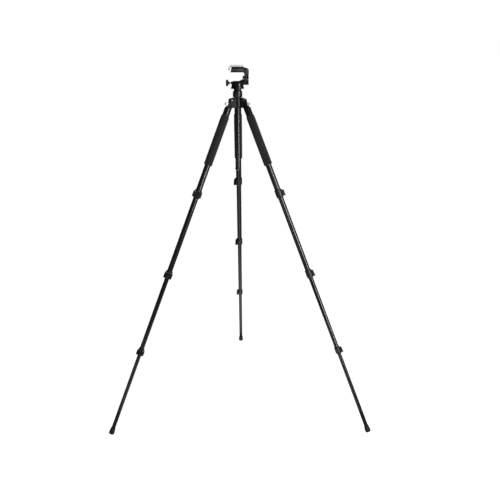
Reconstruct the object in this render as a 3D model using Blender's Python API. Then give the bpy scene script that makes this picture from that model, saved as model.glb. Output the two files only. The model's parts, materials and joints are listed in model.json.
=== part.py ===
"""Photo tripod with four-section legs, a sliding centre column and a pan and tilt head.

Metres, +Z up, floor at z = 0. The back leg points to +Y and the head's side arm to +X.
"""

import math

import bmesh
import bpy
from mathutils import Matrix, Vector

for old in list(bpy.data.objects):
    bpy.data.objects.remove(old, do_unlink=True)

# --- legs: distances s run down the leg from its pivot ---
SPREAD = math.radians(23.80)
LEG_AZIMUTHS = {"a": 210.0, "b": 330.0, "c": 90.0}
AXIS_Y = -0.1600
PIVOT_R = 0.0315
LEG_LENGTH = 1.5146
FOOT_CUT = 0.0026
PIVOT_Z = LEG_LENGTH * math.cos(SPREAD) + FOOT_CUT
TUBE_R = (0.0125, 0.0110, 0.0095, 0.0080)
TUBE_WALL = 0.0012
TUBE_TOP = 0.0380
LOCK_S = (0.4154, 0.7792, 1.1317)
LOCK_H = (0.036, 0.036, 0.032)
LOCK_WALL = 0.0030
LOCK_TURN = math.radians(60.0)
LOCK_STEP = 0.0070
OVERLAP = (0.055, 0.050, 0.045)
FOAM_S = (0.0665, 0.2865)
FOAM_R = 0.0176
SLEEVE_R = 0.0149
SLEEVE_S = (0.0345, 0.0655)
FOOT_R = 0.0115
FOOT_H = 0.028
GAP = 0.0003

# --- pivot joint ---
EAR_R = 0.0078
TONGUE_R = 0.0074
CHEEK_IN = 0.0062
CHEEK_OUT = 0.0097
TONGUE_HALF = 0.0059
BOLT_R = 0.0029
BOLT_HALF = 0.0122
BOLT_HOLE_R = 0.0032

# --- centre column and head, heights above the leg pivots ---
COLUMN_R = 0.0120
COLUMN_WALL = 0.0015
COLUMN_BOTTOM = -0.2863
COLUMN_TOP = 0.0520
CAP_BOTTOM = -0.2916
CAP_R = 0.0136
COLLAR_R = 0.0152
COLLAR_BOTTOM = -0.0333
COLLAR_TOP = 0.0285
HUB_RING_R = 0.0165
HUB_RING_Z = (-0.0235, 0.0108)
WEB_Z = (-0.0312, 0.0105)
KNOB_Z = (0.0122, 0.0370)
KNOB_R = 0.0200
DISC_R = 0.0273
DISC_Z = (0.0460, 0.0546)
NECK_R = 0.0158
NECK_BOTTOM = 0.0376
BASE_R = 0.0248
BASE_TOP_R = 0.0200
BASE_Z = (0.0549, 0.0655, 0.0775)
BRACKET_BOTTOM = 0.0619
TILT_Z = 0.0919
TILT_EAR_R = 0.0105
HUB_R = 0.0100
ARM_X = (0.0284, 0.0366, 0.0369, 0.0460, 0.0475)
TRAY_Z = (0.1121, 0.1352)
TRAY_HALF_Y = 0.0210
PLATE_X = (-0.0302, 0.0254)
PLATE_Z = (0.1355, 0.1405)
PAD_Z = (0.1407, 0.1418)
SCREW_X = -0.0029
RELEASE_PIN = (-0.0212, 0.0085)
RELEASE_TIP = (-0.0130, -0.0050)
RELEASE_Z = (0.1329, 0.1349)
PAN_LOCK_Z = 0.0700
LOBE_POINTS = 24

ROUND = 24


def material(name, colour, metallic, roughness):
    mat = bpy.data.materials.new(name)
    mat.use_nodes = True
    shader = mat.node_tree.nodes["Principled BSDF"]
    shader.inputs["Base Color"].default_value = (*colour, 1.0)
    shader.inputs["Metallic"].default_value = metallic
    shader.inputs["Roughness"].default_value = roughness
    return mat


BLACK_METAL = ((0.015, 0.015, 0.017), 0.0, 0.25)
BLACK_PLASTIC = ((0.018, 0.018, 0.019), 0.0, 0.55)
FOAM = ((0.045, 0.046, 0.047), 0.0, 0.95)
RUBBER = ((0.014, 0.014, 0.014), 0.0, 0.85)
SILVER = ((0.60, 0.60, 0.61), 1.0, 0.30)
LIGHT_PLATE = ((0.45, 0.45, 0.46), 1.0, 0.40)


def new_object(name, bm, look, matrix=None, angle=35.0):
    """A finished object from a bmesh, smooth but for its sharp edges."""
    bmesh.ops.recalc_face_normals(bm, faces=bm.faces)
    mesh = bpy.data.meshes.new(name)
    bm.to_mesh(mesh)
    bm.free()
    for poly in mesh.polygons:
        poly.use_smooth = True
    mesh.set_sharp_from_angle(angle=math.radians(angle))
    obj = bpy.data.objects.new(name, mesh)
    bpy.context.collection.objects.link(obj)
    if look is not None:
        mesh.materials.append(material(name, *look))
    if matrix is not None:
        obj.matrix_world = matrix
    return obj


def loft(sections, ring=False):
    """A solid through loops of equal length; ring joins the last loop to the first."""
    bm = bmesh.new()
    loops = [[bm.verts.new(p) for p in loop] for loop in sections]
    pairs = list(zip(loops, loops[1:]))
    if ring:
        pairs.append((loops[-1], loops[0]))
    else:
        bm.faces.new(loops[0][::-1])
        bm.faces.new(loops[-1])
    for low, high in pairs:
        for i in range(len(low)):
            j = (i + 1) % len(low)
            bm.faces.new((low[i], low[j], high[j], high[i]))
    return bm


def circle(radius, height, count=ROUND):
    steps = (2 * math.pi * i / count for i in range(count))
    return [Vector((radius * math.cos(a), radius * math.sin(a), height)) for a in steps]


def lathe(profile, ring=False, count=ROUND):
    """Turn (radius, height) points about Z; ring makes a hollow sleeve."""
    return loft([circle(r, z, count) for r, z in profile], ring)


def prism(outline, low, high, axis="Z"):
    """Extrude a plan outline along an axis. X takes (y, z) points and Y takes (x, z)."""
    order = {
        "X": lambda u, v, w: Vector((w, u, v)),
        "Y": lambda u, v, w: Vector((u, w, v)),
        "Z": lambda u, v, w: Vector((u, v, w)),
    }[axis]
    return loft([[order(u, v, w) for u, v in outline] for w in (low, high)])


def box(x, y, z):
    return prism([(x[0], y[0]), (x[1], y[0]), (x[1], y[1]), (x[0], y[1])], z[0], z[1])


def turned(bm, matrix):
    bm.transform(matrix)
    return bm


ABOUT_X = Matrix.Rotation(math.radians(90), 4, "Y")
ABOUT_Y = Matrix.Rotation(math.radians(-90), 4, "X")


def rod(radius, low, high, axis, centre=(0.0, 0.0, 0.0), count=16):
    """A cylinder between two stations along X, Y or Z."""
    bm = lathe([(radius, low), (radius, high)], count=count)
    if axis == "X":
        bm.transform(ABOUT_X)
    if axis == "Y":
        bm.transform(ABOUT_Y)
    bm.transform(Matrix.Translation(centre))
    return bm


def combine(bm, steps):
    """Join ("UNION") or cut ("DIFFERENCE") other bmeshes, in order."""
    base = new_object("work", bm, None)
    for operation, other in steps:
        tool = new_object("tool", other, None)
        mod = base.modifiers.new("cut", "BOOLEAN")
        mod.operation = operation
        mod.solver = "EXACT"
        mod.object = tool
        graph = bpy.context.evaluated_depsgraph_get()
        done = bpy.data.meshes.new_from_object(base.evaluated_get(graph))
        base.modifiers.clear()
        base.data = done
        bpy.data.objects.remove(tool, do_unlink=True)
    out = bmesh.new()
    out.from_mesh(base.data)
    bmesh.ops.remove_doubles(out, verts=out.verts, dist=1e-6)
    bmesh.ops.dissolve_degenerate(out, edges=out.edges, dist=1e-6)
    bpy.data.objects.remove(base, do_unlink=True)
    return out


def arc(cx, cz, radius, start, end, count):
    angles = (start + (end - start) * i / count for i in range(count + 1))
    return [
        (cx + radius * math.cos(math.radians(a)), cz + radius * math.sin(math.radians(a)))
        for a in angles
    ]


# --- frames ---
HEAD = Matrix.Translation((0.0, AXIS_Y, PIVOT_Z))


def leg_frame(azimuth):
    """Origin at the leg's pivot, Z up the leg, X outwards, Y sideways."""
    phi = math.radians(azimuth)
    turn = Matrix.Rotation(phi, 4, "Z") @ Matrix.Rotation(-SPREAD, 4, "Y")
    return HEAD @ Matrix.Translation(
        (PIVOT_R * math.cos(phi), PIVOT_R * math.sin(phi), 0.0)
    ) @ turn


def down(s, turn=0.0):
    return Matrix.Translation((0.0, 0.0, -s)) @ Matrix.Rotation(turn, 4, "Z")


# --- leg pieces, each built about its own origin ---
def leg_top():
    body = lathe(
        [
            (0.0118, -SLEEVE_S[0] + 0.0014),
            (0.0139, -SLEEVE_S[0]),
            (SLEEVE_R, -SLEEVE_S[0] - 0.0025),
            (SLEEVE_R - 0.0002, -SLEEVE_S[1]),
            (TUBE_R[0] + 0.00015, -SLEEVE_S[1]),
            (TUBE_R[0] + 0.00015, -TUBE_TOP + 0.0008),
        ]
    )
    root = -SLEEVE_S[0] - 0.0010
    outline = arc(0.0, 0.0, TONGUE_R, -8, 188, 12) + [
        (-0.0102, -0.0100),
        (-0.0136, -0.0180),
        (-0.0136, root),
        (0.0094, root),
    ]
    return combine(
        body,
        [
            ("UNION", prism(outline, -TONGUE_HALF, TONGUE_HALF, "Y")),
            ("DIFFERENCE", rod(BOLT_HOLE_R, -0.02, 0.02, "Y")),
        ],
    )


def pivot_bolt():
    profile = [
        (0.0040, -BOLT_HALF),
        (0.0048, -BOLT_HALF + 0.0006),
        (0.0048, -CHEEK_OUT - GAP),
        (BOLT_R, -CHEEK_OUT - GAP),
        (BOLT_R, CHEEK_OUT + GAP),
        (0.0048, CHEEK_OUT + GAP),
        (0.0048, BOLT_HALF - 0.0006),
        (0.0040, BOLT_HALF),
    ]
    return turned(lathe(profile, count=12), ABOUT_Y)


def angle_tab():
    outline = [
        (0.0102, -0.0150),
        (0.0190, -0.0166),
        (0.0203, -0.0190),
        (0.0182, -0.0270),
        (0.0102, -0.0270),
    ]
    return prism(outline, -0.0056, 0.0056, "Y")


def foam_grip():
    top, bottom = (-s for s in FOAM_S)
    bore = TUBE_R[0] + 0.0002
    return lathe(
        [
            (0.0148, top),
            (FOAM_R - 0.0004, top - 0.0050),
            (FOAM_R, top - 0.0100),
            (FOAM_R, bottom + 0.0030),
            (FOAM_R - 0.0012, bottom),
            (bore, bottom),
            (bore, top),
        ],
        ring=True,
    )


def tube(radius, length):
    inner = radius - TUBE_WALL
    return lathe([(radius, 0.0), (radius, -length), (inner, -length), (inner, 0.0)], ring=True)


def lock_collar(upper, lower, height):
    """Clamp collar about the end of a tube, with the lug its lever hinges on."""
    half = height / 2
    outer = upper + LOCK_WALL
    step = LOCK_STEP - half
    ring = lathe(
        [
            (outer - 0.0022, -half),
            (outer - 0.0004, 0.0040 - half),
            (outer, 0.0065 - half),
            (outer, half - 0.0016),
            (outer - 0.0014, half),
            (upper + 0.00015, half),
            (upper + 0.00015, step),
            (lower + 0.0003, step),
            (lower + 0.0003, -half),
        ],
        ring=True,
    )
    hinge = outer + 0.0024
    high = half - 0.0090
    lug = arc(hinge, high, 0.0030, -70, 100, 6) + [
        (outer - 0.0022, high + 0.0042),
        (outer - 0.0022, high - 0.0075),
    ]
    return combine(ring, [("UNION", prism(lug, -0.0060, 0.0060, "Y"))])


def lock_lever(upper, height):
    """Flip lever wrapped about the front of its collar, about its hinge."""
    outer = upper + LOCK_WALL
    hinge = outer + 0.0024
    wide = outer + 0.0038
    thick = 0.0030
    front = outer + 0.0005 + thick
    back = outer * 0.45
    low = -(height - 0.0125)

    def section(z, pull, flare):
        out = [
            (back, wide - pull / 2),
            (front - 0.0036 - pull, wide - pull / 2),
            (front - pull + flare, wide - 0.0045 - pull / 2),
            (front - pull + flare, -wide + 0.0045 + pull / 2),
            (front - 0.0036 - pull, -wide + pull / 2),
            (back, -wide + pull / 2),
            (back, -wide + thick),
            (front - thick - 0.0016, -wide + thick),
            (front - thick, -wide + thick + 0.0022),
            (front - thick, wide - thick - 0.0022),
            (front - thick - 0.0016, wide - thick),
            (back, wide - thick),
        ]
        return [Vector((x - hinge, y, z)) for x, y in out]

    shell = loft(
        [
            section(0.0022, 0.0012, 0.0),
            section(-0.0040, 0.0, 0.0),
            section(low + 0.0060, 0.0, 0.0),
            section(low, 0.0, 0.0026),
        ]
    )
    notch = box((-0.02, 0.02), (-0.0064, 0.0064), (-0.0078, 0.01))
    return combine(shell, [("DIFFERENCE", notch)])


def rubber_foot():
    """Foot cap about the tube's axis, cut level where it stands on the floor."""
    bore = TUBE_R[3] + 0.0002
    bm = lathe(
        [
            (0.0085, 0.0),
            (0.0107, 0.0012),
            (FOOT_R, 0.0035),
            (FOOT_R, 0.0120),
            (0.0103, 0.0220),
            (0.0094, FOOT_H),
            (bore, FOOT_H),
            (bore, 0.0060),
        ],
    )
    floor = Matrix.Rotation(SPREAD, 3, "Y") @ Vector((0.0, 0.0, -1.0))
    geom = bm.verts[:] + bm.edges[:] + bm.faces[:]
    cut = bmesh.ops.bisect_plane(
        bm, geom=geom, plane_co=floor * FOOT_CUT, plane_no=floor, clear_outer=True
    )
    edges = [e for e in cut["geom_cut"] if isinstance(e, bmesh.types.BMEdge)]
    bmesh.ops.contextual_create(bm, geom=edges)
    return bm


def build_leg(tag, azimuth):
    frame = leg_frame(azimuth)
    new_object(f"leg_{tag}_top", leg_top(), BLACK_METAL, frame)
    new_object(f"leg_{tag}_pivot_bolt", pivot_bolt(), BLACK_METAL, frame)
    new_object(f"leg_{tag}_angle_tab", angle_tab(), SILVER, frame)
    new_object(f"leg_{tag}_foam_grip", foam_grip(), FOAM, frame)
    tops = [TUBE_TOP] + [s - o for s, o in zip(LOCK_S, OVERLAP)]
    ends = [s + h / 2 - LOCK_STEP - GAP for s, h in zip(LOCK_S, LOCK_H)]
    ends.append(LEG_LENGTH - 0.0063)
    for i in range(4):
        place = frame @ down(tops[i])
        shape = tube(TUBE_R[i], ends[i] - tops[i])
        new_object(f"leg_{tag}_tube_{i + 1}", shape, BLACK_METAL, place)
    for i in range(3):
        place = frame @ down(LOCK_S[i], LOCK_TURN)
        collar = lock_collar(TUBE_R[i], TUBE_R[i + 1], LOCK_H[i])
        new_object(f"leg_{tag}_lock_{i + 1}", collar, BLACK_PLASTIC, place)
        hinge = Matrix.Translation(
            (TUBE_R[i] + LOCK_WALL + 0.0024, 0.0, LOCK_H[i] / 2 - 0.0090)
        )
        lever = lock_lever(TUBE_R[i], LOCK_H[i])
        new_object(f"leg_{tag}_lever_{i + 1}", lever, BLACK_PLASTIC, place @ hinge)
    new_object(f"leg_{tag}_foot", rubber_foot(), RUBBER, frame @ down(LEG_LENGTH))


# --- spider and centre column ---
def spider():
    body = lathe(
        [
            (COLLAR_R - 0.0008, COLLAR_BOTTOM),
            (COLLAR_R, COLLAR_BOTTOM + 0.0010),
            (COLLAR_R, HUB_RING_Z[0] - 0.0012),
            (HUB_RING_R, HUB_RING_Z[0]),
            (HUB_RING_R, HUB_RING_Z[1] - 0.0004),
            (HUB_RING_R - 0.0006, HUB_RING_Z[1]),
            (COLLAR_R, HUB_RING_Z[1]),
            (COLLAR_R, COLLAR_TOP),
        ],
    )
    web, top = WEB_Z
    outline = arc(PIVOT_R, 0.0, EAR_R, -50, 50, 8) + [
        (0.0190, top),
        (0.0080, top),
        (0.0080, web),
        (0.0290, web),
        (0.0345, web + 0.0030),
        (0.0388, web + 0.0130),
    ]
    steps = []
    for azimuth in LEG_AZIMUTHS.values():
        turn = Matrix.Rotation(math.radians(azimuth), 4, "Z")
        for low, high in ((CHEEK_IN, CHEEK_OUT), (-CHEEK_OUT, -CHEEK_IN)):
            steps.append(("UNION", turned(prism(outline, low, high, "Y"), turn)))
        pin = rod(BOLT_HOLE_R, -0.02, 0.02, "Y", (PIVOT_R, 0.0, 0.0))
        steps.append(("DIFFERENCE", turned(pin, turn)))
    bore = lathe(
        [
            (COLUMN_R + 0.0003, COLLAR_BOTTOM - 0.01),
            (COLUMN_R + 0.0003, -0.0040),
            (0.0136, -0.0040),
            (0.0136, COLLAR_TOP + 0.01),
        ],
    )
    steps.append(("DIFFERENCE", bore))
    return combine(body, steps)


def sleeve(outer, inner, low, high, chamfer=0.0):
    return lathe(
        [
            (outer - chamfer, low),
            (outer, low + max(chamfer, 0.0001)),
            (outer, high - max(chamfer, 0.0001)),
            (outer - chamfer, high),
            (inner, high),
            (inner, low),
        ],
        ring=True,
    )


def column_lock_knob():
    low, high = KNOB_Z
    return lathe(
        [
            (KNOB_R - 0.0022, low),
            (KNOB_R - 0.0004, low + 0.0022),
            (KNOB_R, low + 0.0060),
            (KNOB_R, high - 0.0060),
            (KNOB_R - 0.0006, high - 0.0020),
            (KNOB_R - 0.0022, high),
            (COLUMN_R + 0.0004, high),
            (COLUMN_R + 0.0004, COLLAR_TOP + 0.0015),
            (COLLAR_R + 0.0003, COLLAR_TOP + 0.0015),
            (COLLAR_R + 0.0003, low),
        ],
        ring=True,
    )


def centre_column():
    inner = COLUMN_R - COLUMN_WALL
    profile = [
        (COLUMN_R, COLUMN_BOTTOM),
        (COLUMN_R, COLUMN_TOP),
        (inner, COLUMN_TOP),
        (inner, COLUMN_BOTTOM),
    ]
    return lathe(profile, ring=True)


def column_end_cap():
    plug = COLUMN_R - COLUMN_WALL - 0.0002
    profile = [
        (CAP_R - 0.0015, CAP_BOTTOM),
        (CAP_R, CAP_BOTTOM + 0.0012),
        (CAP_R, COLUMN_BOTTOM - GAP),
        (plug, COLUMN_BOTTOM - GAP),
        (plug, COLUMN_BOTTOM + 0.0100),
    ]
    return lathe(profile)


def pan_disc():
    low, high = DISC_Z
    profile = [
        (COLUMN_R + 0.0002, COLUMN_TOP + GAP),
        (COLUMN_R + 0.0002, NECK_BOTTOM),
        (NECK_R - 0.0006, NECK_BOTTOM),
        (NECK_R, NECK_BOTTOM + 0.0008),
        (NECK_R, low),
        (DISC_R - 0.0010, low),
        (DISC_R, low + 0.0010),
        (DISC_R, high - 0.0010),
        (DISC_R - 0.0010, high),
    ]
    return lathe(profile)


# --- pan and tilt head ---
def pan_base():
    low, mid, high = BASE_Z
    body = lathe(
        [
            (BASE_R - 0.0006, low),
            (BASE_R, low + 0.0008),
            (BASE_R, mid),
            (BASE_TOP_R + 0.0008, high - 0.0016),
            (BASE_TOP_R - 0.0010, high),
        ],
    )
    seam = TILT_Z - HUB_R - 0.0004
    bracket = [
        (0.0020, BRACKET_BOTTOM),
        (0.0468, BRACKET_BOTTOM),
        (0.0468, seam),
        (ARM_X[1], seam),
        (ARM_X[1], seam + 0.0030),
        (0.0200, seam + 0.0032),
        (0.0090, high + 0.0008),
        (0.0020, high - 0.0004),
    ]
    half = TILT_EAR_R
    ear = arc(0.0, TILT_Z, half, 0, 180, 12) + [(-half, mid + 0.0060), (half, mid + 0.0060)]
    return combine(
        body,
        [
            ("UNION", prism(bracket, -half + 0.0002, half - 0.0002, "Y")),
            ("UNION", prism(ear, ARM_X[0], ARM_X[1], "X")),
            ("UNION", rod(0.0050, -0.0275, -0.0120, "X", (0.0, 0.0, PAN_LOCK_Z))),
            ("DIFFERENCE", rod(0.0033, -0.0300, -0.0160, "X", (0.0, 0.0, PAN_LOCK_Z))),
            ("DIFFERENCE", rod(0.0033, 0.0200, 0.0400, "X", (0.0, 0.0, TILT_Z))),
        ],
    )


def pan_lock_knob():
    """Six-lobed knob about X, its hub towards the head."""

    def lobed(x, scale, wave):
        points = []
        for i in range(LOBE_POINTS):
            a = 2 * math.pi * i / LOBE_POINTS
            r = scale * (0.0132 + wave * math.cos(6 * a))
            points.append(Vector((x, r * math.cos(a), r * math.sin(a))))
        return points

    def ring(x, r):
        return [Vector((x, p.x, p.y)) for p in circle(r, 0.0, LOBE_POINTS)]

    return loft(
        [
            lobed(-0.0480, 0.90, 0.0008),
            lobed(-0.0466, 1.0, 0.0008),
            lobed(-0.0396, 1.0, 0.0008),
            lobed(-0.0385, 0.93, 0.0008),
            ring(-0.0382, 0.0066),
            ring(-0.0328, 0.0056),
            ring(-0.0325, 0.0033),
            ring(-0.0400, 0.0033),
        ]
    )


def tilt_knob():
    """Clamp nut inside the arm with its bolt through both arms, about X."""
    profile = [
        (0.0054, 0.0213),
        (0.0062, 0.0221),
        (0.0062, 0.0274),
        (0.0056, 0.0281),
        (0.0030, 0.0281),
        (0.0030, 0.0440),
    ]
    return turned(lathe(profile, count=20), ABOUT_X)


def tilt_platform():
    low, high = TRAY_Z
    tray = [(-0.0282, low), (0.0275, low), (0.0275, high - 0.0022), (0.0250, high), (-0.0236, high)]
    arm = [
        (0.0240, low + 0.0002),
        (0.0262, low - 0.0016),
        (0.0285, low - 0.0050),
        (0.0285, TILT_Z + TILT_EAR_R + 0.0004),
        (ARM_X[4], TILT_Z + TILT_EAR_R + 0.0004),
        (ARM_X[4], 0.1195),
        (0.0465, 0.1236),
        (0.0440, 0.1268),
        (0.0400, 0.1294),
        (0.0350, 0.1312),
        (0.0240, 0.1324),
    ]
    hub = arc(0.0, TILT_Z, HUB_R, 180, 360, 12) + [(HUB_R, 0.1070), (-HUB_R, 0.1070)]
    half = 0.0110
    pocket = box((-0.0180, 0.0140), (-0.0120, 0.0120), (low + 0.0060, high + 0.01))
    recess = box((-0.0320, -0.0170), (0.0010, 0.0165), (RELEASE_Z[0] - GAP, high + 0.01))
    pin = rod(0.0015, 0.1300, RELEASE_Z[1] + 0.0001, "Z", (*RELEASE_PIN, 0.0), 12)
    return combine(
        prism(tray, -TRAY_HALF_Y, TRAY_HALF_Y, "Y"),
        [
            ("UNION", prism(arm, -half, half, "Y")),
            ("UNION", prism(hub, ARM_X[2], ARM_X[3], "X")),
            ("DIFFERENCE", pocket),
            ("DIFFERENCE", recess),
            ("UNION", pin),
            ("DIFFERENCE", rod(0.0033, 0.0300, 0.0443, "X", (0.0, 0.0, TILT_Z))),
        ],
    )


def slab(x, y, z, corner):
    """A rounded rectangular plate with the camera screw's hole through it."""
    outline = []
    for cx, cy, start in (
        (x[1] - corner, y[1] - corner, 0),
        (x[0] + corner, y[1] - corner, 90),
        (x[0] + corner, y[0] + corner, 180),
        (x[1] - corner, y[0] + corner, 270),
    ):
        outline += arc(cx, cy, corner, start, start + 90, 4)
    hole = rod(0.0035, z[0] - 0.01, z[1] + 0.01, "Z", (SCREW_X, 0.0, 0.0))
    return combine(prism(outline, z[0], z[1]), [("DIFFERENCE", hole)])


def camera_screw():
    profile = [
        (0.0072, 0.1292),
        (0.0080, 0.1300),
        (0.0080, 0.1346),
        (0.0072, 0.1352),
        (0.0031, 0.1352),
        (0.0031, 0.1406),
        (0.0026, 0.1412),
    ]
    return lathe(profile, count=20)


def plate_lever():
    """Release lever about its own pin, with a finger knob hanging from its tip."""
    low, high = RELEASE_Z
    x, y = RELEASE_TIP
    lean = math.degrees(math.atan2(y, x))
    outline = arc(0.0, 0.0, 0.0032, lean + 100, lean + 260, 6)
    outline += arc(x, y, 0.0024, lean - 90, lean + 90, 6)
    stem = rod(0.0012, 0.1265, low + 0.0010, "Z", (x, y, 0.0), 12)
    knob = lathe([(0.0015, 0.1220), (0.0025, 0.1230), (0.0025, 0.1262), (0.0015, 0.1272)], count=16)
    knob = turned(knob, Matrix.Translation((x, y, 0.0)))
    shape = combine(
        prism(outline, low, high),
        [
            ("UNION", stem),
            ("UNION", knob),
            ("DIFFERENCE", rod(0.0018, 0.1200, 0.1400, "Z", count=12)),
        ],
    )
    return turned(shape, Matrix.Translation((0.0, 0.0, -low)))


def about(z, shape, x=0.0):
    """Put a head piece's origin on its own axis."""
    return turned(shape, Matrix.Translation((-x, 0.0, -z))), HEAD @ Matrix.Translation((x, 0.0, z))


new_object("spider", spider(), BLACK_METAL, HEAD)
new_object("column_collet", sleeve(0.0133, 0.01225, -0.0036, 0.0292), BLACK_PLASTIC, HEAD)
new_object("column_lock_knob", column_lock_knob(), BLACK_METAL, HEAD)
new_object("centre_column", centre_column(), BLACK_METAL, HEAD)
new_object("column_end_cap", column_end_cap(), BLACK_PLASTIC, HEAD)
new_object("pan_disc", pan_disc(), BLACK_METAL, HEAD)
new_object("pan_base", pan_base(), BLACK_METAL, HEAD)

shape, place = about(PAN_LOCK_Z, rod(0.0030, -0.0397, -0.0165, "X", (0.0, 0.0, PAN_LOCK_Z)))
new_object("pan_lock_shaft", shape, SILVER, place)
place = HEAD @ Matrix.Translation((0.0, 0.0, PAN_LOCK_Z))
new_object("pan_lock_knob", pan_lock_knob(), BLACK_PLASTIC, place)
place = HEAD @ Matrix.Translation((0.0, 0.0, TILT_Z))
new_object("tilt_knob", tilt_knob(), BLACK_PLASTIC, place)

shape, place = about(TILT_Z, tilt_platform())
new_object("tilt_platform", shape, BLACK_METAL, place)
half_y = (-TRAY_HALF_Y, TRAY_HALF_Y)
shape, place = about(TILT_Z, slab(PLATE_X, half_y, PLATE_Z, 0.0030))
new_object("camera_plate", shape, LIGHT_PLATE, place)
inset = 0.0015
pad_x = (PLATE_X[0] + inset, PLATE_X[1] - inset)
pad_y = (half_y[0] + inset, half_y[1] - inset)
shape, place = about(TILT_Z, slab(pad_x, pad_y, PAD_Z, 0.0030))
new_object("plate_pad", shape, ((0.33, 0.33, 0.33), 0.0, 0.9), place)
place = HEAD @ Matrix.Translation((SCREW_X, 0.0, 0.0))
new_object("camera_screw", camera_screw(), SILVER, place)
place = HEAD @ Matrix.Translation((*RELEASE_PIN, RELEASE_Z[0]))
new_object("plate_release_lever", plate_lever(), SILVER, place)

for leg_tag, leg_azimuth in LEG_AZIMUTHS.items():
    build_leg(leg_tag, leg_azimuth)
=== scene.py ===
"""Looks of a tripod with a pan and tilt head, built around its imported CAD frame."""

import json
import math

import bmesh
import bpy
from mathutils import Matrix, Vector, noise

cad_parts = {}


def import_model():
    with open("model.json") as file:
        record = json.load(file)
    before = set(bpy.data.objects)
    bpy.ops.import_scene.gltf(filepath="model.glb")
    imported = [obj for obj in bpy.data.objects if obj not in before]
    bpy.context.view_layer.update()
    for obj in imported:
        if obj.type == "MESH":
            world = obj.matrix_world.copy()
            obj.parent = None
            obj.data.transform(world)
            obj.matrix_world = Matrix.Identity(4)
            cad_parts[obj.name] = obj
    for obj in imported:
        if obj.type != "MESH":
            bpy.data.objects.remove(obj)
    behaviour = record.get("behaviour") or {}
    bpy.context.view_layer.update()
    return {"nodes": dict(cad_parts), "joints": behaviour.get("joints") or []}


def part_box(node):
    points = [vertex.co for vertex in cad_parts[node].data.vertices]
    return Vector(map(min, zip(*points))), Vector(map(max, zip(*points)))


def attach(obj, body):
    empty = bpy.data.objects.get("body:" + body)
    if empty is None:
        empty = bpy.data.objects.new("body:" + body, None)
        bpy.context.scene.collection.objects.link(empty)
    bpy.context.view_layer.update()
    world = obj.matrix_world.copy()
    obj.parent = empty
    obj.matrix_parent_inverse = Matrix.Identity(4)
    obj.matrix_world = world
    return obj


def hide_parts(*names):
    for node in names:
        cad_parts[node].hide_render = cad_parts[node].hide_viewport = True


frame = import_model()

JOINTS = {j["name"]: j for j in frame["joints"]}
NODES = frame["nodes"]
LEGS = ("a", "b", "c")

# Sizes of the CAD part, metres. FOAM_S runs down a leg from its pivot, and the heights
# of the head are taken from the leg pivots.
LEG_LENGTH = 1.5146
TUBE_R = (0.0125, 0.0110, 0.0095, 0.0080)
TUBE_WALL = 0.0012
LOCK_WALL = 0.0030
LOCK_H = (0.036, 0.036, 0.032)
HINGE_OUT = 0.0024
HINGE_DOWN = 0.0090
FOAM_S = (0.0665, 0.2865)
FOAM_R = 0.0176
FOOT_H = 0.028
COLUMN_R = 0.0120
COLUMN_WALL = 0.0015
TILT_Z = 0.0919
PAN_LOCK_Z = 0.0700
TRAY_Z = (0.1121, 0.1352)
SCREW_X = -0.0029


# --- frames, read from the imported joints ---
def axes(origin, side, up):
    """Matrix whose X points out, Y sideways and Z up, at an origin."""
    side, up = Vector(side).normalized(), Vector(up).normalized()
    out = side.cross(up)
    rows = [[out[i], side[i], up[i], origin[i]] for i in range(3)]
    return Matrix(rows + [[0.0, 0.0, 0.0, 1.0]])


def leg_frame(tag):
    up = -Vector(JOINTS[f"leg_{tag}_slide_1"]["axis"])
    pivot = JOINTS[f"leg_{tag}_spread"]
    return axes(pivot["pos_m"], -Vector(pivot["axis"]), up)


def lock_frame(tag, i):
    """Centre of a lock collar, X towards its lever."""
    up = -Vector(JOINTS[f"leg_{tag}_slide_1"]["axis"])
    hinge = JOINTS[f"leg_{tag}_lever_{i + 1}_flip"]
    at_hinge = axes(hinge["pos_m"], -Vector(hinge["axis"]), up)
    reach = TUBE_R[i] + LOCK_WALL + HINGE_OUT
    return at_hinge @ Matrix.Translation((-reach, 0.0, HINGE_DOWN - LOCK_H[i] / 2))


PIVOT_Z = JOINTS["leg_a_spread"]["pos_m"][2]
HEAD = Matrix.Translation((*JOINTS["pan"]["pos_m"][:2], PIVOT_Z))
AXIS = HEAD.translation.xy
LEG = {tag: leg_frame(tag) for tag in LEGS}


# --- materials ---
TONE_SHARE, GRAIN_SHARE = 0.65, 0.35  # how the two patterns weigh in a finish


def node(tree, kind, **values):
    made = tree.nodes.new(kind)
    for key, value in values.items():
        if key in made.inputs:
            made.inputs[key].default_value = value
        else:
            setattr(made, key, value)
    return made


def noise_texture(tree, coords, scale, detail, rough=0.5):
    made = node(tree, "ShaderNodeTexNoise", Scale=scale, Detail=detail, Roughness=rough)
    tree.links.new(coords, made.inputs["Vector"])
    return made.outputs["Fac"]


def ranged(tree, value, low, high, start=0.3, end=0.7):
    made = node(tree, "ShaderNodeMapRange")
    made.inputs["From Min"].default_value = start
    made.inputs["From Max"].default_value = end
    made.inputs["To Min"].default_value = low
    made.inputs["To Max"].default_value = high
    tree.links.new(value, made.inputs["Value"])
    return made.outputs["Result"]


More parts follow.
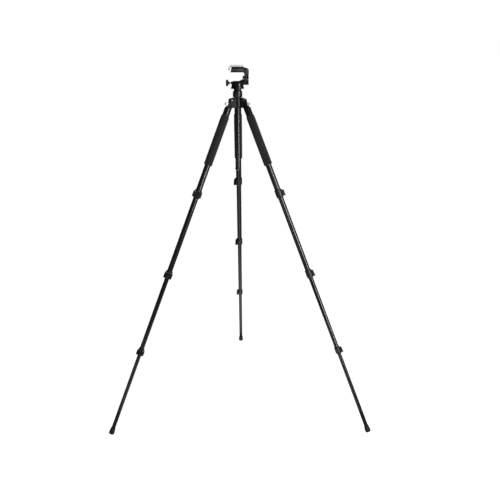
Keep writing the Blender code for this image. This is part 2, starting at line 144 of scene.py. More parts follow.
def surface(
    name,
    dark,
    light,
    rough,
    tone_scale=40.0,
    grain_scale=1500.0,
    bump=0.00002,
    metallic=0.0,
    specular=0.5,
    stretch=1.0,
    turn=None,
    sheen=0.0,
):
    """Procedural finish: uneven tone, uneven gloss and a fine grain.

    Stretch draws the pattern out along Z, after turn has brought Z to the piece's length.
    """
    mat = bpy.data.materials.new(name)
    mat.use_nodes = True
    tree = mat.node_tree
    shader = tree.nodes["Principled BSDF"]
    coords = node(tree, "ShaderNodeTexCoord").outputs["Object"]
    mapping = node(tree, "ShaderNodeMapping")
    mapping.vector_type = "TEXTURE"
    if turn is not None:
        mapping.inputs["Rotation"].default_value = turn.to_euler()
    mapping.inputs["Scale"].default_value = (1.0, 1.0, stretch)
    tree.links.new(coords, mapping.inputs["Vector"])
    place = mapping.outputs["Vector"]
    tone = noise_texture(tree, place, tone_scale, 4.0)
    grain = noise_texture(tree, place, grain_scale, 3.0, 0.6)
    mix = node(tree, "ShaderNodeMix", data_type="RGBA")
    mix.inputs[6].default_value = (*dark, 1.0)
    mix.inputs[7].default_value = (*light, 1.0)
    both = node(tree, "ShaderNodeMath", operation="ADD")
    tree.links.new(ranged(tree, tone, 0.0, TONE_SHARE), both.inputs[0])
    tree.links.new(ranged(tree, grain, 0.0, GRAIN_SHARE), both.inputs[1])
    tree.links.new(both.outputs[0], mix.inputs[0])
    tree.links.new(mix.outputs[2], shader.inputs["Base Color"])
    tree.links.new(ranged(tree, both.outputs[0], *rough, 0.1, 0.9), shader.inputs["Roughness"])
    relief = node(tree, "ShaderNodeBump", Strength=1.0, Distance=bump)
    tree.links.new(grain, relief.inputs["Height"])
    tree.links.new(relief.outputs["Normal"], shader.inputs["Normal"])
    shader.inputs["Metallic"].default_value = metallic
    shader.inputs["Specular IOR Level"].default_value = specular
    shader.inputs["Sheen Weight"].default_value = sheen
    return mat


def foam_surface():
    """Closed-cell foam: pitted skin, matt, with paler rubbed patches."""
    mat = surface(
        "foam_rubber",
        (0.0095, 0.0098, 0.0101),
        (0.0190, 0.0196, 0.0202),
        (0.86, 0.98),
        tone_scale=35.0,
        grain_scale=900.0,
        bump=0.00012,
        specular=0.25,
        sheen=0.15,
    )
    tree = mat.node_tree
    shader = tree.nodes["Principled BSDF"]
    coords = next(n for n in tree.nodes if n.type == "TEX_COORD").outputs["Object"]
    cells = node(tree, "ShaderNodeTexVoronoi", Scale=650.0)
    tree.links.new(coords, cells.inputs["Vector"])
    pits = node(tree, "ShaderNodeBump", Strength=0.6, Distance=0.00015)
    tree.links.new(cells.outputs["Distance"], pits.inputs["Height"])
    first = shader.inputs["Normal"].links[0].from_socket
    tree.links.new(first, pits.inputs["Normal"])
    tree.links.new(pits.outputs["Normal"], shader.inputs["Normal"])
    return mat


TUBE = {
    tag: surface(
        f"black_anodised_{tag}",
        (0.006, 0.006, 0.007),
        (0.013, 0.013, 0.014),
        (0.15, 0.22),
        tone_scale=30.0,
        grain_scale=1400.0,
        bump=0.0000015,
        stretch=14.0,
        turn=LEG[tag].to_3x3(),
    )
    for tag in LEGS
}
COLUMN = surface(
    "black_anodised_column",
    (0.006, 0.006, 0.007),
    (0.012, 0.013, 0.013),
    (0.14, 0.21),
    tone_scale=30.0,
    grain_scale=1400.0,
    bump=0.0000015,
    stretch=14.0,
)
CAST = surface(
    "black_cast_paint",
    (0.004, 0.004, 0.0045),
    (0.010, 0.0098, 0.0102),
    (0.20, 0.32),
    tone_scale=55.0,
    grain_scale=1300.0,
    bump=0.000010,
    specular=0.36,
)
PLASTIC = surface(
    "black_moulded_plastic",
    (0.008, 0.008, 0.008),
    (0.018, 0.018, 0.019),
    (0.34, 0.52),
    tone_scale=70.0,
    grain_scale=1800.0,
    bump=0.000025,
)
LEVER = surface(
    "lever_plastic",
    (0.004, 0.004, 0.004),
    (0.009, 0.009, 0.009),
    (0.30, 0.46),
    tone_scale=90.0,
    grain_scale=1800.0,
    bump=0.00002,
    specular=0.35,
)
KNOB = surface(
    "knob_plastic",
    (0.008, 0.008, 0.008),
    (0.018, 0.017, 0.017),
    (0.24, 0.36),
    tone_scale=90.0,
    grain_scale=2000.0,
    bump=0.00003,
)
RUBBER = surface(
    "foot_rubber",
    (0.008, 0.008, 0.008),
    (0.022, 0.022, 0.021),
    (0.68, 0.88),
    tone_scale=80.0,
    grain_scale=1500.0,
    bump=0.00005,
    specular=0.3,
)
INLAY = surface(
    "grey_inlay",
    (0.020, 0.020, 0.021),
    (0.032, 0.032, 0.034),
    (0.42, 0.58),
    tone_scale=80.0,
    grain_scale=2200.0,
    bump=0.00002,
)
TAB = surface(
    "bright_zinc",
    (0.66, 0.66, 0.67),
    (0.84, 0.84, 0.85),
    (0.34, 0.50),
    tone_scale=120.0,
    grain_scale=2500.0,
    bump=0.00001,
    metallic=0.25,
)
SILVER = surface(
    "satin_silver",
    (0.62, 0.62, 0.63),
    (0.80, 0.80, 0.81),
    (0.22, 0.38),
    tone_scale=120.0,
    grain_scale=2500.0,
    bump=0.000006,
    metallic=1.0,
)
BOLT = surface(
    "dull_steel",
    (0.12, 0.12, 0.123),
    (0.19, 0.19, 0.193),
    (0.36, 0.48),
    tone_scale=160.0,
    grain_scale=2600.0,
    bump=0.000008,
    metallic=0.85,
)
STEEL = surface(
    "plated_steel",
    (0.45, 0.45, 0.46),
    (0.66, 0.66, 0.67),
    (0.20, 0.34),
    tone_scale=150.0,
    grain_scale=3000.0,
    bump=0.000005,
    metallic=1.0,
)
PLATE = surface(
    "grey_plate",
    (0.62, 0.62, 0.63),
    (0.82, 0.82, 0.83),
    (0.34, 0.50),
    tone_scale=60.0,
    grain_scale=1800.0,
    bump=0.00001,
    metallic=0.20,
)
PAD = surface(
    "pad_rubber",
    (0.20, 0.20, 0.20),
    (0.34, 0.34, 0.34),
    (0.72, 0.90),
    tone_scale=90.0,
    grain_scale=1600.0,
    bump=0.00004,
    specular=0.3,
)
FOAM = foam_surface()


# --- mesh tools ---
CREASE_ANGLE = 35.0  # degrees, between the faces of a made piece
SCREW_POINTS = 24


def ring_points(radius, z, count, wave=None):
    """A circle's points at height z, each moved out by wave(index, z)."""
    points = []
    for i in range(count):
        a = 2 * math.pi * i / count
        r = radius + (wave(i, z) if wave else 0.0)
        points.append(Vector((r * math.cos(a), r * math.sin(a), z)))
    return points


def hexagon(across, z):
    """A hexagon's outline with as many points as the circles beside it."""
    points = []
    for i in range(SCREW_POINTS):
        a = 2 * math.pi * i / SCREW_POINTS
        turn = (a + math.pi / 6) % (math.pi / 3) - math.pi / 6
        r = across / 2 / math.cos(turn)
        points.append(Vector((r * math.cos(a), r * math.sin(a), z)))
    return points


def loft(sections, closed=False):
    """A skin over outlines with as many points each: capped, or joined last to first."""
    bm = bmesh.new()
    loops = [[bm.verts.new(p) for p in loop] for loop in sections]
    pairs = list(zip(loops, loops[1:]))
    if closed:
        pairs.append((loops[-1], loops[0]))
    else:
        bm.faces.new(loops[0][::-1])
        bm.faces.new(loops[-1])
    for low, high in pairs:
        for i in range(len(low)):
            j = (i + 1) % len(low)
            bm.faces.new((low[i], low[j], high[j], high[i]))
    return bm


def lathe(profile, count=48, closed=False, wave=None):
    """A profile of (radius, z) turned about Z."""
    return loft([ring_points(r, z, count, wave) for r, z in profile], closed)


def bar(x, y, z, edge=0.0002):
    """A box with its edges rounded off."""
    bm = bmesh.new()
    made = bmesh.ops.create_cube(bm, size=1.0)
    size = Vector((x[1] - x[0], y[1] - y[0], z[1] - z[0]))
    middle = Vector((x[0] + x[1], y[0] + y[1], z[0] + z[1])) / 2
    for v in made["verts"]:
        v.co = Vector(c * s for c, s in zip(v.co, size)) + middle
    bmesh.ops.bevel(
        bm, geom=bm.edges[:], offset=edge, segments=2, profile=0.5, affect="EDGES"
    )
    return bm


def torus(radius, thin, z, count=48, sides=8):
    """A ring about Z, thin being its wire's radius."""
    loops = []
    for k in range(sides):
        a = 2 * math.pi * k / sides
        loops.append((radius + thin * math.cos(a), z + thin * math.sin(a)))
    return lathe(loops, count, closed=True)


def moved(bm, matrix):
    bm.transform(matrix)
    return bm


def merged(parts):
    """One mesh of several loose parts."""
    total = bmesh.new()
    for part in parts:
        mesh = bpy.data.meshes.new("part")
        part.to_mesh(mesh)
        part.free()
        total.from_mesh(mesh)
        bpy.data.meshes.remove(mesh)
    return total


def piece(name, bm, look, body, place, stands_for=()):
    """A finished piece that rides on its body, made in the frame that place gives."""
    bmesh.ops.recalc_face_normals(bm, faces=bm.faces)
    mesh = bpy.data.meshes.new(name)
    bm.to_mesh(mesh)
    bm.free()
    for poly in mesh.polygons:
        poly.use_smooth = True
    mesh.set_sharp_from_angle(angle=math.radians(CREASE_ANGLE))
    mesh.materials.append(look)
    obj = bpy.data.objects.new(name, mesh)
    bpy.context.scene.collection.objects.link(obj)
    obj.matrix_world = place
    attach(obj, body)
    if stands_for:
        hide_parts(*stands_for)
    return obj


ABOUT_X = Matrix.Rotation(math.radians(90), 4, "Y")
ABOUT_Y = Matrix.Rotation(math.radians(-90), 4, "X")


def up_to(z):
    """The head's frame raised by z from the leg pivots."""
    return HEAD @ Matrix.Translation((0.0, 0.0, z))


# --- CAD nodes that stay: finish and softened edges ---
SHARP_ANGLE = 32.0  # degrees, from which an edge is bevelled and stays sharp
FLAT_ANGLE = 1.0  # degrees, up to which facets are one face
SAME_PLACE = 1e-6
FINE_EDGE = 0.0004


def shading_group():
    """Smooth shading but for sharp edges, in place of the frame's flat facets."""
    tree = bpy.data.node_groups.new("shade_by_angle", "GeometryNodeTree")
    for way in ("INPUT", "OUTPUT"):
        tree.interface.new_socket("Geometry", in_out=way, socket_type="NodeSocketGeometry")
    drop = node(tree, "GeometryNodeRemoveAttribute", Name="custom_normal")
    faces = node(tree, "GeometryNodeSetShadeSmooth", domain="FACE")
    edges = node(tree, "GeometryNodeSetShadeSmooth", domain="EDGE")
    creases = node(tree, "GeometryNodeSetShadeSmooth", domain="EDGE")
    creases.inputs["Shade Smooth"].default_value = False
    angle = node(tree, "GeometryNodeInputMeshEdgeAngle")
    sharp = node(tree, "FunctionNodeCompare", operation="GREATER_THAN")
    sharp.inputs["B"].default_value = math.radians(SHARP_ANGLE)
    tree.links.new(angle.outputs["Unsigned Angle"], sharp.inputs["A"])
    tree.links.new(sharp.outputs["Result"], creases.inputs["Selection"])
    chain = [node(tree, "NodeGroupInput"), drop, faces, edges, creases]
    chain.append(node(tree, "NodeGroupOutput"))
    for first, second in zip(chain, chain[1:]):
        tree.links.new(first.outputs["Geometry"], second.inputs["Geometry"])
    return tree


SHADING = shading_group()


def soften(name, width=0.0005):
    """Narrow bevels and clean shading on a CAD solid."""
    obj = NODES[name]
    weld = obj.modifiers.new("weld", "WELD")
    weld.merge_threshold = SAME_PLACE
    flat = obj.modifiers.new("flat", "DECIMATE")
    flat.decimate_type = "DISSOLVE"
    flat.angle_limit = math.radians(FLAT_ANGLE)
    bevel = obj.modifiers.new("bevel", "BEVEL")
    bevel.width = width
    bevel.segments = 2
    bevel.limit_method = "ANGLE"
    bevel.angle_limit = math.radians(SHARP_ANGLE)
    shade = obj.modifiers.new("shade", "NODES")
    shade.node_group = SHADING
    normals = obj.modifiers.new("normals", "WEIGHTED_NORMAL")
    normals.keep_sharp = True


def paint(name, look):
    obj = NODES[name]
    obj.data.materials.clear()
    obj.data.materials.append(look)


for name in NODES:
    if "_lever_" in name:
        paint(name, LEVER)
        soften(name, FINE_EDGE)
    elif "_lock_" in name and name.startswith("leg"):
        paint(name, PLASTIC)
        soften(name, FINE_EDGE)
for name in ("spider", "pan_base", "tilt_platform", "pan_disc"):
    paint(name, CAST)
    soften(name)
for tag in LEGS:
    paint(f"leg_{tag}_top", CAST)
    soften(f"leg_{tag}_top")
    paint(f"leg_{tag}_angle_tab", TAB)
    soften(f"leg_{tag}_angle_tab")
paint("column_collet", PLASTIC)
paint("column_end_cap", PLASTIC)
soften("column_end_cap")
paint("pan_lock_shaft", TAB)
paint("camera_plate", PLATE)
soften("camera_plate", 0.0006)
paint("plate_release_lever", TAB)
soften("plate_release_lever")


# --- tubes ---
def turned_tube(name, radius, wall, look, body, place, stands_for):
    """A smooth drawn tube with chamfered mouths, as long as its CAD node."""
    back = place.inverted()
    along = [(back @ v.co).z for v in NODES[stands_for].data.vertices]
    low, high = min(along), max(along)
    inner, edge = radius - wall, 0.0003
    profile = [
        (radius - edge, low),
        (radius, low + edge),
        (radius, high - edge),
        (radius - edge, high),
        (inner + edge, high),
        (inner, high - edge),
        (inner, low + edge),
        (inner + edge, low),
    ]
    made = piece(name, lathe(profile, 72, closed=True), look, body, place, (stands_for,))


for tag in LEGS:
    for i, part in enumerate(("upper", "second", "third", "end")):
        turned_tube(
            f"leg_{tag}_section_{i + 1}",
            TUBE_R[i],
            TUBE_WALL,
            TUBE[tag],
            f"leg_{tag}_{part}",
            LEG[tag],
            f"leg_{tag}_tube_{i + 1}",
        )
turned_tube("column_tube", COLUMN_R, COLUMN_WALL, COLUMN, "column", HEAD, "centre_column")


# --- foam grips ---
BORE_GAP = 0.0002  # between a tube and what is pushed over it


def foam_grip(tag):
    """Foam sleeve with rolled ends and a slightly uneven skin."""
    top, bottom = (-s for s in FOAM_S)
    bore = TUBE_R[0] + BORE_GAP
    rows, shoulder, toe = 64, 0.0110, 0.0045
    skin_from, lump_rate, lump_height = 0.0156, 140.0, 0.00016
    profile = [(bore, top), (0.0144, top), (0.0153, top - 0.0008), (0.0163, top - 0.0026)]
    profile += [(0.0170, top - 0.0050), (0.0174, top - 0.0078), (FOAM_R, top - shoulder)]
    start, end = top - shoulder, bottom + toe
    profile += [(FOAM_R, start + (end - start) * i / rows) for i in range(1, rows)]
    profile += [(FOAM_R, end), (0.0174, bottom + 0.0022), (0.0168, bottom + 0.0008)]
    profile += [(0.0158, bottom), (bore, bottom)]
    bm = lathe(profile, 56, closed=True)
    for v in bm.verts:
        flat = Vector((v.co.x, v.co.y, 0.0))
        if flat.length > skin_from:
            lump = noise.noise(v.co * lump_rate + Vector((0.0, 0.0, ord(tag))))
            v.co += flat.normalized() * lump_height * lump
    skin = piece(
        f"leg_{tag}_foam_skin",
        bm,
        FOAM,
        f"leg_{tag}_upper",
        LEG[tag],
        (f"leg_{tag}_foam_grip",),
    )


# --- leg hardware ---
def pivot_bolt(tag):
    """Headed bolt along the leg's hinge, with a hexagon socket in each end."""
    socket, head, shank = 0.0046, 0.0048, 0.0029
    under, floor_z, face = 0.0100, 0.0106, 0.0122
    half = [
        (head, under),
        (head, 0.0114),
        (0.0046, 0.0119),
        (0.0040, face),
    ]
    sections = [hexagon(socket, -floor_z), hexagon(socket, -face)]
    sections += [ring_points(r, -z, SCREW_POINTS) for r, z in half[::-1]]
    sections += [ring_points(shank, -under, SCREW_POINTS)]
    sections += [ring_points(shank, under, SCREW_POINTS)]
    sections += [ring_points(r, z, SCREW_POINTS) for r, z in half]
    sections += [hexagon(socket, face), hexagon(socket, floor_z)]
    bolt = piece(
        f"leg_{tag}_socket_bolt",
        moved(loft(sections), ABOUT_Y),
        BOLT,
        "spider",
        LEG[tag],
        (f"leg_{tag}_pivot_bolt",),
    )


def tab_ribs(tag):
    """Finger ridges on the sloping face of the leg angle tab."""
    wide, thick, slope = 0.0046, 0.0008, 0.0005
    ribs = []
    for k, z in enumerate((-0.0254, -0.0236, -0.0218)):
        x = (0.0183 + slope * k, 0.0193 + slope * k)
        ribs.append(bar(x, (-wide, wide), (z, z + thick)))
    made = piece(f"leg_{tag}_tab_ribs", merged(ribs), TAB, f"leg_{tag}_angle_tab", LEG[tag])


def sleeve_band(tag):
    """Raised band round the mouth of the leg's top casting."""
    ring = torus(0.0148, 0.0005, -0.0638)
    band = piece(f"leg_{tag}_top_band", ring, CAST, f"leg_{tag}_upper", LEG[tag])


def lock_details(tag, i):
    """Beads round the collar and the hinge pin's ends."""
    half = LOCK_H[i] / 2
    outer = TUBE_R[i] + LOCK_WALL
    body = f"leg_{tag}_" + ("upper", "second", "third")[i]
    place = lock_frame(tag, i)
    bead, below_top, above_bottom = 0.0003, 0.0042, 0.0088
    beads = merged(
        [torus(outer, bead, half - below_top), torus(outer, bead, above_bottom - half)]
    )
    made = piece(f"leg_{tag}_lock_{i + 1}_beads", beads, PLASTIC, body, place)
    reach, pin_r, pin_tip, chamfer = outer + 0.0010, 0.0011, 0.0008, 0.0003
    profile = [(pin_tip, -reach - chamfer), (pin_r, -reach), (pin_r, reach)]
    profile += [(pin_tip, reach + chamfer)]
    pin = moved(lathe(profile, 16), ABOUT_Y)
    at = place @ Matrix.Translation((outer + HINGE_OUT, 0.0, half - HINGE_DOWN))
    made = piece(f"leg_{tag}_lock_{i + 1}_pin", pin, STEEL, body, at)


def lever_ribs(tag, i):
    """Thumb ridges on a lock lever's flared end."""
    outer = TUBE_R[i] + LOCK_WALL
    wide = outer - 0.0040
    face = outer + 0.0035
    step, thick, proud = 0.0022, 0.0010, 0.0006
    flare, flare_height = 0.0026, 0.0060
    half = LOCK_H[i] / 2
    low = HINGE_DOWN - (LOCK_H[i] - 0.0125)
    ribs = []
    for k in range(3):
        z = half - HINGE_DOWN + low - HINGE_DOWN + step + step * k
        out = face + flare * max(0.0, 1.0 - (step + step * k) / flare_height)
        ribs.append(bar((out - proud, out + proud), (-wide, wide), (z, z + thick), 0.0003))
    made = piece(
        f"leg_{tag}_lever_{i + 1}_ribs",
        merged(ribs),
        LEVER,
        f"leg_{tag}_lever_{i + 1}",
        lock_frame(tag, i),
    )


def rubber_foot(tag):
    """Ribbed foot, cut level where it stands."""
    bore = TUBE_R[3] + BORE_GAP
    profile = [(0.0085, 0.0), (0.0098, 0.0003), (0.0107, 0.0012), (0.0113, 0.0024)]
    for z in (0.0040, 0.0072, 0.0104):
        profile += [(0.0115, z), (0.0115, z + 0.0018)]
        profile += [(0.0109, z + 0.0022), (0.0109, z + 0.0028)]
    profile += [(0.0113, 0.0136), (0.0110, 0.0165), (0.0103, 0.0220), (0.0097, 0.0262)]
    profile += [(0.0095, 0.0276), (0.0091, FOOT_H), (bore, FOOT_H), (bore, 0.0060)]
    bm = moved(lathe(profile, 48), LEG[tag] @ Matrix.Translation((0.0, 0.0, -LEG_LENGTH)))
    geom = bm.verts[:] + bm.edges[:] + bm.faces[:]
    cut = bmesh.ops.bisect_plane(
        bm, geom=geom, plane_co=(0.0, 0.0, 0.0), plane_no=(0.0, 0.0, -1.0), clear_outer=True
    )
    rim = [e for e in cut["geom_cut"] if isinstance(e, bmesh.types.BMEdge)]
    bmesh.ops.contextual_create(bm, geom=rim)
    foot = piece(
        f"leg_{tag}_ribbed_foot",
        bm,
        RUBBER,
        f"leg_{tag}_end",
        Matrix.Identity(4),
        (f"leg_{tag}_foot",),
    )


for tag in LEGS:
    foam_grip(tag)
    pivot_bolt(tag)
    tab_ribs(tag)
    sleeve_band(tag)
    rubber_foot(tag)
    for i in range(3):
        lock_details(tag, i)
        lever_ribs(tag, i)


# --- column lock, head ---
def column_knob():
    """Twist collar with fine notches below a groove."""
    low, high, outer = 0.0122, 0.0370, 0.0200
    notches, step, deep = 14, 8, 0.0005
    bore, seat, seat_top = COLUMN_R + 0.0004, 0.0155, 0.0300

    def notch(i, z):
        return -deep if i % step == 0 and low + 0.004 < z < high - 0.0075 else 0.0

    profile = [
        (outer - 0.0022, low),
        (outer - 0.0010, low + 0.0007),
        (outer - 0.0004, low + 0.0022),
        (outer, low + 0.0041),
        (outer, high - 0.0078),
        (outer, high - 0.0072),
        (outer - 0.0009, high - 0.0068),
        (outer - 0.0009, high - 0.0060),
        (outer, high - 0.0056),
        (outer, high - 0.0030),
        (outer - 0.0007, high - 0.0010),
        (outer - 0.0022, high),
        (bore, high),
        (bore, seat_top),
        (seat, seat_top),
        (seat, low),
    ]
    bm = lathe(profile, notches * step, closed=True, wave=notch)
    made = piece("column_lock_grip", bm, KNOB, "column_lock", HEAD, ("column_lock_knob",))


def pan_knob():
    """Six-lobed knob about X, its hub towards the head."""
    count, lobes, middle_r, swing = 96, 6, 0.0131, 0.0009

    def lobed(x, scale):
        points = []
        for i in range(count):
            a = 2 * math.pi * i / count
            r = scale * (middle_r + swing * math.cos(lobes * a))
            points.append(Vector((x, r * math.cos(a), r * math.sin(a))))
        return points

    def round_at(x, r):
        return [Vector((x, p.x, p.y)) for p in ring_points(r, 0.0, count)]

    bm = loft(
        [
            round_at(-0.0474, 0.0062),
            round_at(-0.0480, 0.0070),
            lobed(-0.0480, 0.88),
            lobed(-0.0477, 0.95),
            lobed(-0.0468, 1.0),
            lobed(-0.0398, 1.0),
            lobed(-0.0389, 0.96),
            lobed(-0.0385, 0.90),
            round_at(-0.0382, 0.0068),
            round_at(-0.0378, 0.0060),
            round_at(-0.0330, 0.0056),
            round_at(-0.0326, 0.0050),
            round_at(-0.0325, 0.0033),
            round_at(-0.0400, 0.0033),
        ]
    )
    place = up_to(PAN_LOCK_Z)
    made = piece("pan_lock_grip", bm, KNOB, "pan_lock", place, ("pan_lock_knob",))


def tilt_clamp():
    """Clamp nut with a knurled rim inside the arm, about X."""
    teeth, step, deep = 20, 4, 0.00025

    def knurl(i, x):
        return deep * math.cos(2 * math.pi * i / step) if 0.0222 < x < 0.0273 else 0.0

    profile = [
        (0.0036, 0.0215),
        (0.0052, 0.0213),
        (0.0058, 0.0216),
        (0.0060, 0.0223),
        (0.0060, 0.0272),
        (0.0058, 0.0279),
        (0.0052, 0.0281),
        (0.0030, 0.0281),
        (0.0030, 0.0440),
    ]
    bm = moved(lathe(profile, teeth * step, wave=knurl), ABOUT_X)
    place = up_to(TILT_Z)
    made = piece("tilt_clamp_nut", bm, PLASTIC, "tilt_lock", place, ("tilt_knob",))


def span(side, near, far):
    """The stretch of Y between two distances, on one side of the middle."""
    return tuple(sorted((side * near, side * far)))


def tray_frames():
    """Raised borders on the tray and the side arm, and the cap over the tilt pivot."""
    parts = []
    low, high = TRAY_Z
    lean = Matrix.Rotation(math.atan2(0.0046, 0.0231), 4, "Y")
    at_end = Matrix.Translation((-0.0242, 0.0, (low + high) / 2)) @ lean
    for side in (-1, 1):
        y = span(side, 0.0206, 0.0215)
        parts.append(bar((-0.0240, 0.0245), y, (high - 0.0078, high - 0.0006)))
        parts.append(bar((-0.0272, 0.0262), y, (low + 0.0006, low + 0.0046)))
        parts.append(moved(bar((-0.0014, 0.0014), y, (-0.0104, 0.0104)), at_end))
        y = span(side, 0.0106, 0.0114)
        parts.append(bar((0.0290, 0.0308), y, (0.1040, 0.1290)))
        parts.append(bar((0.0448, 0.0471), y, (0.1040, 0.1190)))
    profile = [(0.0070, 0.0470), (0.0070, 0.0478), (0.0064, 0.0483)]
    profile += [(0.0030, 0.0483), (0.0026, 0.0480)]
    cap = moved(lathe(profile, 32), ABOUT_X)
    parts.append(moved(cap, Matrix.Translation((0.0, 0.0, TILT_Z))))
    made = piece("tray_frames", merged(parts), CAST, "tilt", HEAD)


def tray_panels():
    """Grey inlays between the borders of the tray and of the side arm."""
    low, high = TRAY_Z
    edge = 0.0001
    parts = []
    for side in (-1, 1):
        y = span(side, 0.0207, 0.0212)
        parts.append(bar((-0.0235, 0.0250), y, (low + 0.0048, high - 0.0080), edge))
        y = span(side, 0.0107, 0.0112)
        parts.append(bar((0.0312, 0.0444), y, (0.1050, 0.1262), edge))
    made = piece("tray_panels", merged(parts), INLAY, "tilt", HEAD)


def release_tip():
    """Soft cap over the finger knob of the plate's release lever."""
    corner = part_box("plate_release_lever")[0]
    tip = Vector((corner.x + 0.0025, corner.y + 0.0025)) - AXIS
    profile = [(0.0014, 0.1217), (0.0023, 0.1219), (0.0028, 0.1228), (0.0028, 0.1262)]
    profile += [(0.0024, 0.1272), (0.0016, 0.1275)]
    place = HEAD @ Matrix.Translation((tip.x, tip.y, 0.0))
    made = piece("plate_release_tip", lathe(profile, 24), PLASTIC, "plate_release", place)


def pad_ridges():
    """Rubber seat for the camera: a thin sheet with fine ridges each side of the screw."""
    low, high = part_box("plate_pad")
    thick = high.z - low.z
    strips, margin, hole_r = 13, 0.002, 0.0052
    hole = Vector((SCREW_X, AXIS[1]))
    pitch = (high.y - low.y) / strips
    start, end = low.x + margin, high.x - margin
    base = bmesh.new()
    base.from_mesh(NODES["plate_pad"].data)
    bmesh.ops.remove_doubles(base, verts=base.verts, dist=SAME_PLACE)
    for v in base.verts:
        if v.co.z > high.z - 1e-5:
            v.co.z -= 0.35 * thick
    parts = [base]
    for k in range(strips):
        y = low.y + pitch * (k + 0.5)
        spans = [(start, end)]
        gap = hole_r ** 2 - (y - hole.y) ** 2
        if gap > 0:
            reach = math.sqrt(gap)
            spans = [(start, hole.x - reach), (hole.x + reach, end)]
        for x in spans:
            z = (high.z - 0.6 * thick, high.z)
            parts.append(bar(x, (y - 0.3 * pitch, y + 0.3 * pitch), z))
    place = Matrix.Identity(4)
    made = piece("plate_pad_ridges", merged(parts), PAD, "tilt", place, ("plate_pad",))


def camera_screw():
    """Quarter-inch screw: a knurled head under the plate and a threaded stem."""
    count, rows, pitch = 40, 30, 0.00127
    head, stem, tip, deep = 0.0078, 0.0031, 0.0022, 0.0005
    head_top, thread_top, top = 0.1352, 0.1410, 0.1412
    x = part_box("camera_screw")[0].x + 0.0080

    def knurl(i, z):
        return 0.0002 * math.cos(2 * math.pi * i / 2) if 0.1301 < z < 0.1345 else 0.0

    def thread(i, z):
        turn = (z / pitch - i / count) % 1.0
        return -deep * abs(2 * turn - 1)

    sections = []
    for r, z in ((0.0070, 0.1292), (head, 0.1296), (head, 0.1302), (head, 0.1344)):
        sections.append(ring_points(r, z, count, knurl))
    for r, z in ((head, 0.1350), (0.0072, head_top)):
        sections.append(ring_points(r, z, count))
    for k in range(rows + 1):
        z = head_top + (thread_top - head_top) * k / rows
        sections.append(ring_points(stem, z, count, thread))
    sections.append(ring_points(tip, top, count))
    made = piece(
        "camera_screw_thread",
        loft(sections),
        STEEL,
        "camera_screw",
        HEAD @ Matrix.Translation((x, 0.0, 0.0)),
        ("camera_screw",),
    )


def cap_screw():
    """Bright screw that holds the column's end cap."""
    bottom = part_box("column_end_cap")[0].z - PIVOT_Z
    sections = [
        hexagon(0.0050, bottom - 0.0004),
        hexagon(0.0050, bottom - 0.0022),
        ring_points(0.0060, bottom - 0.0022, SCREW_POINTS),
        ring_points(0.0070, bottom - 0.0014, SCREW_POINTS),
        ring_points(0.0070, bottom + 0.0004, SCREW_POINTS),
    ]
    made = piece("column_cap_screw", loft(sections), SILVER, "column", HEAD)


column_knob()
pan_knob()
tilt_clamp()
tray_frames()
tray_panels()
release_tip()
pad_ridges()
camera_screw()
cap_screw()

# --- stage ---
FLOOR_R = 3.2
FLOOR_DROP = 0.0002
FLOOR_GLOW = 0.96
SHADE_LIGHT = 0.05  # what the surroundings give the object; the camera sees white


def floor():
    """Plain pale floor that fades into the background."""
    bm = bmesh.new()
    bmesh.ops.create_circle(bm, cap_ends=True, radius=FLOOR_R, segments=128)
    mesh = bpy.data.meshes.new("floor")
    bm.to_mesh(mesh)
    bm.free()
    obj = bpy.data.objects.new("floor", mesh)
    bpy.context.scene.collection.objects.link(obj)
    obj.location = (AXIS[0], AXIS[1], -FLOOR_DROP)
    mat = bpy.data.materials.new("pale_floor")
    mat.use_nodes = True
    shader = mat.node_tree.nodes["Principled BSDF"]
    shader.inputs["Base Color"].default_value = (0.30, 0.30, 0.30, 1.0)
    shader.inputs["Roughness"].default_value = 0.9
    shader.inputs["Specular IOR Level"].default_value = 0.0
    shader.inputs["Emission Color"].default_value = (1.0, 1.0, 1.0, 1.0)
    shader.inputs["Emission Strength"].default_value = FLOOR_GLOW
    mesh.materials.append(mat)
    obj.visible_glossy = False


def world():
    """White surroundings, dim towards the object."""
    made = bpy.data.worlds.new("studio")
    bpy.context.scene.world = made
    made.use_nodes = True
    tree = made.node_tree
    back = tree.nodes["Background"]
    back.inputs["Color"].default_value = (1.0, 1.0, 1.0, 1.0)
    path = tree.nodes.new("ShaderNodeLightPath")
    level = tree.nodes.new("ShaderNodeMapRange")
    level.inputs["To Min"].default_value = SHADE_LIGHT
    level.inputs["To Max"].default_value = 1.0
    tree.links.new(path.outputs["Is Camera Ray"], level.inputs["Value"])
    tree.links.new(level.outputs["Result"], back.inputs["Strength"])


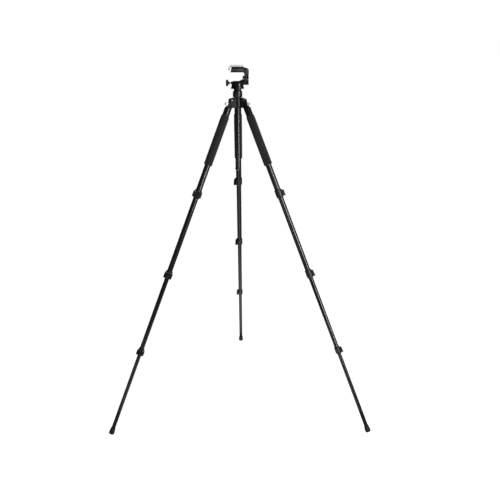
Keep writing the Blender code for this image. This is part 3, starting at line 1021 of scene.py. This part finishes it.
def area_light(name, size, radiance, place):
    data = bpy.data.lights.new(name, "AREA")
    data.shape = "RECTANGLE"
    data.size, data.size_y = size
    data.energy = radiance * math.pi * size[0] * size[1]
    obj = bpy.data.objects.new(name, data)
    bpy.context.scene.collection.objects.link(obj)
    obj.matrix_world = place
    obj.visible_camera = False


def softbox(name, azimuth, distance, height, size, radiance, aim=0.9):
    """A soft rectangular light. Azimuth 0 is the camera's side, positive to its right."""
    a = math.radians(azimuth)
    at = Vector((AXIS[0] + distance * math.sin(a), AXIS[1] - distance * math.cos(a), height))
    toward = Vector((AXIS[0], AXIS[1], aim)) - at
    turn = toward.to_track_quat("-Z", "Y").to_matrix().to_4x4()
    area_light(name, size, radiance, Matrix.Translation(at) @ turn)


def floor_bounce():
    """Light that the pale floor sends back up between the legs."""
    at = Matrix.Translation((AXIS[0], AXIS[1] - 0.06, 0.002))
    area_light("floor_bounce", (0.8, 1.3), 1.0, at @ Matrix.Rotation(math.pi, 4, "X"))


def camera():
    """The viewpoint, placed from the tripod's axis and looking a little down."""
    lens, around, down, roll = 45.384, -0.474, 16.37, -0.244
    stand = (0.0493, -2.7178, 1.5303)
    data = bpy.data.cameras.new("camera")
    data.sensor_width = 36.0
    data.lens = lens
    data.clip_end = 50.0
    obj = bpy.data.objects.new("camera", data)
    bpy.context.scene.collection.objects.link(obj)
    about = Matrix.Translation((AXIS[0], AXIS[1], 0.0))
    about = about @ Matrix.Rotation(math.radians(around), 4, "Z")
    pose = Matrix.Translation(stand)
    pose = pose @ Matrix.Rotation(math.radians(90.0 - down), 4, "X")
    obj.matrix_world = about @ pose @ Matrix.Rotation(math.radians(roll), 4, "Z")
    bpy.context.scene.camera = obj


floor()
world()
softbox("key_high", 42.0, 3.0, 2.0, (0.5, 1.2), 32.0, aim=1.2)
softbox("key_low", 40.0, 3.0, 0.9, (0.40, 0.7), 30.0)
softbox("front", 8.0, 3.0, 1.85, (0.4, 0.5), 4.0, aim=1.0)
softbox("fill", -38.0, 3.0, 0.45, (0.6, 0.6), 3.0)
softbox("top", 160.0, 2.2, 3.0, (1.6, 1.6), 2.0, aim=1.2)
floor_bounce()
camera()
bpy.context.scene.view_settings.view_transform = "Standard"
